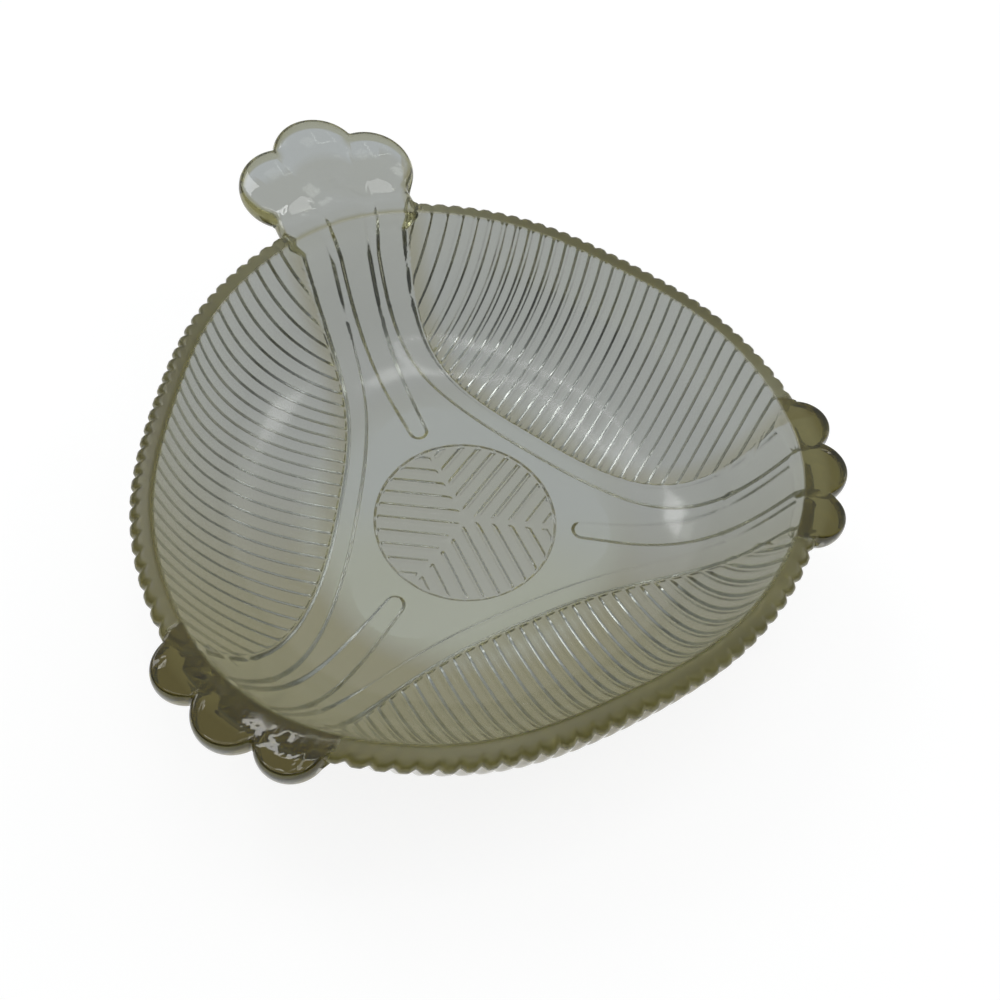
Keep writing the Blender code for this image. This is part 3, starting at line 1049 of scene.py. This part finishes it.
    def edge_masks(self, points: Array, beyond_bowl: Array) -> tuple[Array, Array, Array]:
        """Mark the lugs' upper sides and the edges of the glass, which get painted shade, and the rim's
        top, which is less polished.

        Args:
            points: points of the mesh.
            beyond_bowl: how far each lies outside the rim's inner edge.

        Returns:
            Three shares for each point.
        """
        runs, rim_height, height = self.runs, self.bowl.rim_height, points[:, 2]
        outside = ease(beyond_bowl / runs.fade)
        # Painted shade: the rim's top, the line of its inner edge and the handle's border are marked for
        # a darker olive tint.
        lugs, edges = np.zeros(len(points)), outside * (height > rim_height - self.rim_outer_round)
        inner_line = edges * (beyond_bowl < self.rim_inner_round + runs.fade)
        rim = edges
        for corner, tab in self.tabs.items():
            local = turned(points, -corner.value * THIRD_TURN)
            s, across = local[:, 0] - self.tab_root(), local[:, 1]
            inside = tab.inside(s, across)
            depth = tab.thickness + tab.under_dome
            if corner is not Corner.HANDLE:
                depth += tab.under_drop
            on_tab = ease(inside / runs.fade + 0.5) * outside
            on_tab = on_tab * (s > -runs.tab_root) * (height > rim_height - depth)
            rim = rim * (1.0 - on_tab)
            if corner is Corner.HANDLE:
                border = 1.0 - ease((inside - runs.edge_width) / runs.fade + 0.5)
                edges = np.maximum(edges * (1.0 - on_tab), on_tab * border)
                edges = np.maximum(edges, inner_line)
            else:
                # Painted shade: the lugs' upper sides get a dark olive tint, darkest at their roots.
                lugs = np.maximum(lugs, on_tab * (height > tab.middle_height(s, rim_height)))
        return lugs, edges, rim

    def masks(self, points: Array) -> dict[GlassMask, Array]:
        """Mark where shade is painted into the glass's tint, where the medallion is darker, and where
        the glass is less polished.

        Args:
            points: points of the mesh.

        Returns:
            A share for each mask and point.
        """
        bowl, runs, height = self.bowl, self.runs, points[:, 2]
        radius, angle = np.hypot(points[:, 0], points[:, 1]), np.arctan2(points[:, 1], points[:, 0])
        beyond_bowl = radius - bowl.outer_rim(angle) + bowl.wall_depth
        lugs, edges, rim = self.edge_masks(points, beyond_bowl)
        half_depth = 0.5 * bowl.wall_depth
        from_middle = radius - bowl.radius_at_height(angle, height) + half_depth
        # Painted shade: the wall and floor darken towards the shaded side, and the wall also next to the
        # border band.
        side_shade = blend(runs.least_side_shade, 1.0, rise(np.cos(angle - runs.shaded_side), runs.shaded_side_run))
        aside = angle % THIRD_TURN - SECTOR
        from_band = self.band.panel_edge.beyond(radius * np.cos(aside), radius * np.sin(aside))
        heel = runs.heel_shade_share * (1.0 - ease(from_band / runs.heel_shade_run)) * (from_band > 0.0)
        wall = np.maximum(rise(radius, runs.wall) * side_shade, heel) * (from_middle > 0.0)
        below_rim = height < bowl.rim_height - self.rim_outer_round
        underside = height < runs.underside
        inner = (from_middle < 0.0) & (height > half_depth + bowl.relief)
        return {
            GlassMask.LUG: lugs,
            GlassMask.LUG_ROOT_SHADE: lugs * (1.0 - rise(beyond_bowl, runs.lug_root)),
            GlassMask.EDGE: edges * (1.0 - lugs),
            GlassMask.WALL: wall * (1.0 - lugs) * (1.0 - edges) * below_rim,
            GlassMask.FLOOR: (1.0 - rise(radius, runs.floor)) * side_shade * underside,
            GlassMask.HATCHED: (radius < self.medallion.radius) * underside.astype(float),
            GlassMask.ROUGH: np.maximum(rim, runs.inner_rough * inner),
        }


@dataclass
class MeshShell:
    """Points and faces of a mesh that is being put together."""

    points: list[Array] = field(default_factory=list)
    faces: list[tuple[int, ...]] = field(default_factory=list)
    count: int = 0

    def add_points(self, points: Array) -> Array:
        """Add points.

        Args:
            points: points, with the coordinates on the last axis.

        Returns:
            Their numbers, in the same layout.
        """
        flat = points.reshape(-1, 3)
        numbers = np.arange(self.count, self.count + len(flat)).reshape(points.shape[:-1])
        self.points.append(flat)
        self.count += len(flat)
        return numbers

    def add_quads(self, numbers: Array) -> None:
        """Add the faces of a grid.

        Args:
            numbers: numbers of its points, by row and column.
        """
        a, b = numbers[:-1, :-1], numbers[:-1, 1:]
        d, c = numbers[1:, :-1], numbers[1:, 1:]
        quads = np.stack((a, d, c, b), axis=-1).reshape(-1, 4)
        self.faces += [tuple(quad) for quad in quads.tolist()]

    def add_steps(self, fine: Array, coarse: Array, ratio: int) -> None:
        """Join a finely divided row to one with fewer points.

        Args:
            fine: numbers of the fine row's points.
            coarse: numbers of the other row's points.
            ratio: how many stretches of the fine row meet one of the other.
        """
        for step in range(len(coarse) - 1):
            part = fine[step * ratio : (step + 1) * ratio + 1].tolist()
            self.faces.append((part[0], int(coarse[step]), int(coarse[step + 1]), *part[:0:-1]))

    def add_fan(self, row: Array, centre: int) -> None:
        """Close a row of points to one point."""
        self.faces += [(int(a), int(centre), int(b)) for a, b in zip(row[:-1], row[1:])]

    def to_object(self, name: str) -> bpy.types.Object:
        """Merge what coincides and link the finished mesh.

        Args:
            name: name of the object.

        Returns:
            The new object.
        """
        mesh = bpy.data.meshes.new(name)
        mesh.from_pydata(np.concatenate(self.points).tolist(), [], self.faces)
        work = bmesh.new()
        work.from_mesh(mesh)
        bmesh.ops.remove_doubles(work, verts=work.verts[:], dist=MERGE_DISTANCE)
        bmesh.ops.dissolve_degenerate(work, edges=work.edges[:], dist=0.5 * MERGE_DISTANCE)
        bmesh.ops.recalc_face_normals(work, faces=work.faces[:])
        volume = work.calc_volume(signed=True)
        if volume < 0.0:
            bmesh.ops.reverse_faces(work, faces=work.faces[:])
        open_edges = sum(not edge.is_manifold for edge in work.edges)
        facts = (name, len(work.faces), open_edges, abs(volume) / CUBIC_CM)
        LOG.info("%s: %d faces, %d open edges, %.1f cm3", *facts)
        work.to_mesh(mesh)
        work.free()
        mesh.shade_smooth()
        made = bpy.data.objects.new(name, mesh)
        bpy.context.scene.collection.objects.link(made)
        return made


@dataclass(frozen=True)
class GlassFinish:
    """Straw-tinted pressed glass, fire-polished and faintly uneven.

    The ripple has its full height on the lugs and a share of it elsewhere. The plain tint and most mask
    tints paint shade into the glass.
    """

    name: str = MATERIAL_SLOT
    ior: float = 1.52
    roughness: float = 0.03
    rim_roughness: float = 0.3
    # Painted shade: this grey stands in for the dimmer ground seen through the near-clear glass; the
    # straw colour comes from the absorption.
    tint: Color = (0.385, 0.412, 0.432, 1.0)
    mask_tints: tuple[tuple[GlassMask, Color], ...] = (
        # Painted shade: dark olive on the lugs' upper sides and roots.
        (GlassMask.LUG, (0.038, 0.029, 0.002, 1.0)),
        (GlassMask.LUG_ROOT_SHADE, (0.070, 0.059, 0.010, 1.0)),
        # Painted shade: darker olive along the rim, its inner edge and the handle's border.
        (GlassMask.EDGE, (0.26, 0.26, 0.17, 1.0)),
        # Painted shade: darker olive underside of the floor, most on the shaded side.
        (GlassMask.FLOOR, (0.37, 0.385, 0.27, 1.0)),
        # Painted shade: darker olive wall, most on the shaded side and next to the border band.
        (GlassMask.WALL, (0.197, 0.172, 0.075, 1.0)),
        # Darker, yellower tint over the medallion's underside.
        (GlassMask.HATCHED, (0.325, 0.325, 0.265, 1.0)),
    )
    absorption_color: Color = (0.775, 0.725, 0.30, 1.0)
    absorption_density: float = 20.0
    ripple_scale: float = 190.0
    ripple_detail: float = 2.0
    ripple_share: float = 0.2
    lug_ripple_height: float = 0.1 * MM

    def material(self) -> bpy.types.Material:
        """Make the material.

        Returns:
            A material with a glass surface and an absorbing body.
        """
        material = bpy.data.materials.new(self.name)
        material.use_nodes = True
        tree = material.node_tree
        shader = tree.nodes["Principled BSDF"]
        shader.inputs["Base Color"].default_value = self.tint
        shader.inputs["Metallic"].default_value = 0.0
        shader.inputs["IOR"].default_value = self.ior
        shader.inputs["Transmission Weight"].default_value = 1.0
        polish = self.spread(tree, GlassMask.ROUGH, (self.roughness, self.rim_roughness))
        tree.links.new(self.tinted(tree), shader.inputs["Base Color"])
        tree.links.new(polish, shader.inputs["Roughness"])
        tree.links.new(self.rippled(tree), shader.inputs["Normal"])
        body = tree.nodes.new("ShaderNodeVolumeAbsorption")
        body.inputs["Color"].default_value = self.absorption_color
        body.inputs["Density"].default_value = self.absorption_density
        tree.links.new(body.outputs["Volume"], tree.nodes["Material Output"].inputs["Volume"])
        return material

    @staticmethod
    def share(tree: bpy.types.NodeTree, mask: GlassMask) -> bpy.types.NodeSocket:
        """Read a mask from the mesh.

        Args:
            tree: the material's nodes.
            mask: the mask.

        Returns:
            The socket of its share.
        """
        layer = tree.nodes.new("ShaderNodeAttribute")
        layer.attribute_name = mask.value
        return layer.outputs["Fac"]

    def spread(
        self, tree: bpy.types.NodeTree, mask: GlassMask, run: tuple[float, float]
    ) -> bpy.types.NodeSocket:
        """Turn a mask into values between two.

        Args:
            tree: the material's nodes.
            mask: the mask.
            run: the values where the mask is 0 and where it is 1.

        Returns:
            The socket of the value.
        """
        values = tree.nodes.new("ShaderNodeMapRange")
        values.inputs["To Min"].default_value, values.inputs["To Max"].default_value = run
        tree.links.new(self.share(tree, mask), values.inputs["Value"])
        return values.outputs["Result"]

    def tinted(self, tree: bpy.types.NodeTree) -> bpy.types.NodeSocket:
        """Lay the tints of the masks, which are painted shade and the medallion's darker tint, over the
        plain tint, one after the other.

        Args:
            tree: the material's nodes.

        Returns:
            The socket of the color.
        """
        tint = None
        for mask, color in self.mask_tints:
            mix = tree.nodes.new("ShaderNodeMix")
            mix.data_type = "RGBA"
            mix.inputs["A"].default_value = self.tint
            mix.inputs["B"].default_value = color
            tree.links.new(self.share(tree, mask), mix.inputs["Factor"])
            if tint is not None:
                tree.links.new(tint, mix.inputs["A"])
            tint = mix.outputs["Result"]
        return tint

    def rippled(self, tree: bpy.types.NodeTree) -> bpy.types.NodeSocket:
        """Make the faint unevenness of the glass.

        Args:
            tree: the material's nodes.

        Returns:
            The socket of the uneven normal.
        """
        nodes, links = tree.nodes, tree.links
        place = nodes.new("ShaderNodeTexCoord")
        ripple = nodes.new("ShaderNodeTexNoise")
        ripple.inputs["Scale"].default_value = self.ripple_scale
        ripple.inputs["Detail"].default_value = self.ripple_detail
        level = nodes.new("ShaderNodeMath")
        level.operation = "MULTIPLY"
        bump = nodes.new("ShaderNodeBump")
        bump.inputs["Strength"].default_value = 1.0
        bump.inputs["Distance"].default_value = self.lug_ripple_height
        links.new(place.outputs["Object"], ripple.inputs["Vector"])
        links.new(ripple.outputs["Fac"], level.inputs[0])
        links.new(self.spread(tree, GlassMask.LUG, (self.ripple_share, 1.0)), level.inputs[1])
        links.new(level.outputs[0], bump.inputs["Height"])
        return bump.outputs["Normal"]


@dataclass(frozen=True)
class FloorFinish:
    """Plain pale floor that shows white and keeps the object's shadow."""

    name: str = "pale_floor"
    color: Color = (0.25, 0.25, 0.25, 1.0)
    glow_color: Color = (1.0, 1.0, 1.0, 1.0)
    glow: float = 0.85

    def material(self) -> bpy.types.Material:
        """Make the material.

        Returns:
            A diffuse material with a little glow for what is seen of the floor.
        """
        material = bpy.data.materials.new(self.name)
        material.use_nodes = True
        nodes, links = material.node_tree.nodes, material.node_tree.links
        shader = nodes["Principled BSDF"]
        shader.inputs["Base Color"].default_value = self.color
        shader.inputs["Roughness"].default_value = 1.0
        shader.inputs["Specular IOR Level"].default_value = 0.0
        path = nodes.new("ShaderNodeLightPath")
        seen = path.outputs["Is Camera Ray"]
        for output in ("Is Glossy Ray", "Is Transmission Ray"):
            either = nodes.new("ShaderNodeMath")
            either.operation = "MAXIMUM"
            links.new(seen, either.inputs[0])
            links.new(path.outputs[output], either.inputs[1])
            seen = either.outputs[0]
        glow = nodes.new("ShaderNodeMath")
        glow.operation = "MULTIPLY"
        glow.inputs[1].default_value = self.glow
        links.new(seen, glow.inputs[0])
        shader.inputs["Emission Color"].default_value = self.glow_color
        links.new(glow.outputs[0], shader.inputs["Emission Strength"])
        return material


@dataclass(frozen=True)
class SoftBox:
    """Square lamp by the direction it shines from, with its width and how bright it looks."""

    name: str
    azimuth: float
    elevation: float
    width: float
    glow: float
    distance: float = 1.2

    def place(self) -> Vector:
        """Find where the lamp hangs.

        Returns:
            Its middle.
        """
        out = self.distance * math.cos(self.elevation)
        up = self.distance * math.sin(self.elevation)
        return Vector((out * math.cos(self.azimuth), out * math.sin(self.azimuth), up))


@dataclass(frozen=True)
class Studio:
    """Floor, light and camera."""

    floor_half_size: float = 3.0
    floor_gap: float = 0.1 * MM
    camera_place: tuple[float, float, float] = (-0.0951, 0.0567, 0.1838)
    camera_aim: tuple[float, float, float] = (-0.0078, -0.0037, 0.02)
    camera_roll: float = math.radians(9.6)
    camera_lens: float = 31.4
    camera_clip: float = 5.0 * MM
    strip_place: tuple[float, float, float] = (-0.08, 0.06, 1.0)
    strip_frame: tuple[float, float] = (0.36, 0.75)
    strip_width: float = 0.025
    strip_glow: float = 6.0
    world_bright: tuple[float, float, float] = (0.5, -0.3, 0.81)
    world_run: tuple[float, float] = (-0.1, 0.95)
    world_color: Color = (0.97, 1.0, 1.0, 1.0)
    world_glow: tuple[float, float] = (0.1, 0.6)
    max_bounces: int = 32
    glass_bounces: int = 24
    boxes: tuple[SoftBox, ...] = (
        SoftBox("box_back", math.radians(19.0), math.radians(49.0), width=0.36, glow=3.6),
        SoftBox("box_right", math.radians(268.0), math.radians(38.0), width=0.3, glow=2.5),
        SoftBox("box_top", math.radians(306.0), math.radians(72.0), width=0.25, glow=2.2),
    )

    def add_floor(self, finish: FloorFinish) -> None:
        """Make the floor that the dish stands on.

        Args:
            finish: its finish.
        """
        mesh = bpy.data.meshes.new("floor")
        work = bmesh.new()
        bmesh.ops.create_grid(work, x_segments=1, y_segments=1, size=self.floor_half_size)
        work.to_mesh(mesh)
        work.free()
        mesh.materials.append(finish.material())
        floor = bpy.data.objects.new("floor", mesh)
        floor.location.z = -self.floor_gap
        bpy.context.scene.collection.objects.link(floor)

    def add_world(self) -> None:
        """Light the room softly, bright above and behind the dish and dark in front of it."""
        world = bpy.data.worlds.new("studio")
        bpy.context.scene.world = world
        world.use_nodes = True
        nodes, links = world.node_tree.nodes, world.node_tree.links
        place = nodes.new("ShaderNodeTexCoord")
        toward = nodes.new("ShaderNodeVectorMath")
        toward.operation = "DOT_PRODUCT"
        toward.inputs[1].default_value = Vector(self.world_bright).normalized()
        links.new(place.outputs["Generated"], toward.inputs[0])
        level = nodes.new("ShaderNodeMapRange")
        level.interpolation_type = "SMOOTHSTEP"
        level.inputs["From Min"].default_value = self.world_run[0]
        level.inputs["From Max"].default_value = self.world_run[1]
        level.inputs["To Min"].default_value = self.world_glow[0]
        level.inputs["To Max"].default_value = self.world_glow[1]
        links.new(toward.outputs["Value"], level.inputs["Value"])
        nodes["Background"].inputs["Color"].default_value = self.world_color
        links.new(level.outputs["Result"], nodes["Background"].inputs["Strength"])

    @staticmethod
    def add_lamp(name: str, place: Vector, aim: Vector, size: tuple[float, float], glow: float) -> None:
        """Hang a rectangular lamp that faces a point.

        Args:
            name: name of the lamp.
            place: where its middle is.
            aim: the point.
            size: its two sides.
            glow: how bright it looks.
        """
        lamp = bpy.data.lights.new(name, "AREA")
        lamp.shape = "RECTANGLE"
        lamp.size, lamp.size_y = size
        lamp.energy = glow * math.pi * size[0] * size[1]
        hung = bpy.data.objects.new(name, lamp)
        hung.location = place
        hung.rotation_mode = "QUATERNION"
        hung.rotation_quaternion = (aim - place).to_track_quat("-Z", "Y")
        bpy.context.scene.collection.objects.link(hung)

    def add_strips(self) -> None:
        """Hang four strip lamps in a frame over the dish."""
        wide, deep = self.strip_frame
        for name, x, y, size in (
            ("strip_front", -0.5 * deep, 0.0, (self.strip_width, wide)),
            ("strip_back", 0.5 * deep, 0.0, (self.strip_width, wide)),
            ("strip_left", 0.0, 0.5 * wide, (deep, self.strip_width)),
            ("strip_right", 0.0, -0.5 * wide, (deep, self.strip_width)),
        ):
            place = Vector(self.strip_place) + Vector((x, y, 0.0))
            self.add_lamp(name, place, place - Vector((0.0, 0.0, 1.0)), size, self.strip_glow)

    def add_boxes(self) -> None:
        """Hang the soft boxes, turned to the dish."""
        for box in self.boxes:
            self.add_lamp(box.name, box.place(), Vector(), (box.width, box.width), box.glow)

    def set_bounces(self) -> None:
        """Let light run on through the many faces of the glass."""
        cycles = bpy.context.scene.cycles
        cycles.max_bounces = self.max_bounces
        cycles.glossy_bounces = self.glass_bounces
        cycles.transmission_bounces = self.glass_bounces

    def add_camera(self) -> None:
        """Set up the camera at the viewing angle of the object's picture."""
        data = bpy.data.cameras.new("camera")
        data.lens = self.camera_lens
        data.clip_start = self.camera_clip
        camera = bpy.data.objects.new("camera", data)
        place, aim = Vector(self.camera_place), Vector(self.camera_aim)
        camera.location = place
        camera.rotation_mode = "QUATERNION"
        roll = Quaternion((0.0, 0.0, 1.0), self.camera_roll)
        camera.rotation_quaternion = (aim - place).to_track_quat("-Z", "Y") @ roll
        bpy.context.scene.collection.objects.link(camera)
        bpy.context.scene.camera = camera


def trefoil_handle() -> LobedTab:
    """Size the flat handle, with three broad lobes on a neck.

    Returns:
        The handle.
    """
    return LobedTab(
        lobes=(
            Lobe(reach=18.5 * MM, spread=0.0, radius=11.2 * MM, root=18.5 * MM),
            Lobe(reach=11.1 * MM, spread=11.0 * MM, radius=11.4 * MM, root=11.1 * MM),
        ),
        pole=8.5 * MM,
        neck_half_width=17.7 * MM,
        neck_end=11.1 * MM,
        thickness=4.4 * MM,
        tilt=math.radians(10.0),
        top_round=1.6 * MM,
        under_round=2.2 * MM,
        under_drop=7.0 * MM,
        under_run=8.0 * MM,
        drop_run=9.0 * MM,
        dome=1.3 * MM,
        under_dome=1.1 * MM,
    )


def corner_lug() -> LobedTab:
    """Size the small thick lug, with three round-backed lobes.

    Returns:
        The lug.
    """
    return LobedTab(
        lobes=(
            Lobe(reach=-2.3 * MM, spread=0.0, radius=7.4 * MM, root=-30.0 * MM),
            Lobe(reach=-3.6 * MM, spread=11.6 * MM, radius=6.6 * MM, root=-30.0 * MM),
        ),
        pole=-30.0 * MM,
        neck_half_width=16.0 * MM,
        neck_end=-9.0 * MM,
        thickness=5.4 * MM,
        tilt=math.radians(4.0),
        top_round=1.0 * MM,
        under_round=1.6 * MM,
        under_drop=1.5 * MM,
        under_run=6.0 * MM,
        drop_run=4.0 * MM,
        dome=0.4 * MM,
        under_dome=0.3 * MM,
    )


def bonbon_dish() -> PressedDish:
    """Put the dish's sub-assemblies together, all on one bowl.

    Returns:
        The dish.
    """
    bowl = BowlForm()
    band = BorderBand(
        bowl,
        floor_edge=BandEdge(bowl, reach=25.6 * MM, offset=5.8 * MM, sweep=2.65),
        panel_edge=BandEdge(bowl, reach=31.0 * MM, offset=15.0 * MM, sweep=2.85),
    )
    lug = corner_lug()
    tabs = {Corner.HANDLE: trefoil_handle(), Corner.LEFT: lug, Corner.RIGHT: lug}
    return PressedDish(bowl, RibbedPanel(bowl), band, CornerBar(bowl), Medallion(bowl), tabs)


def main() -> None:
    """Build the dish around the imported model, then its stage."""
    logging.basicConfig(level=logging.INFO, format="%(name)s: %(message)s")
    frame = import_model()
    dish = bonbon_dish()
    glass = dish.build("dish_glass")
    dish.dress(glass, GlassFinish())
    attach(glass, "root")
    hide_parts(*frame["nodes"])
    LOG.info("dish_glass stands for %d nodes", len(frame["nodes"]))
    studio = Studio()
    studio.add_floor(FloorFinish())
    studio.add_world()
    studio.add_strips()
    studio.add_boxes()
    studio.set_bounces()
    studio.add_camera()
    bpy.context.scene.view_settings.view_transform = "Standard"


if __name__ == "__main__":
    main()
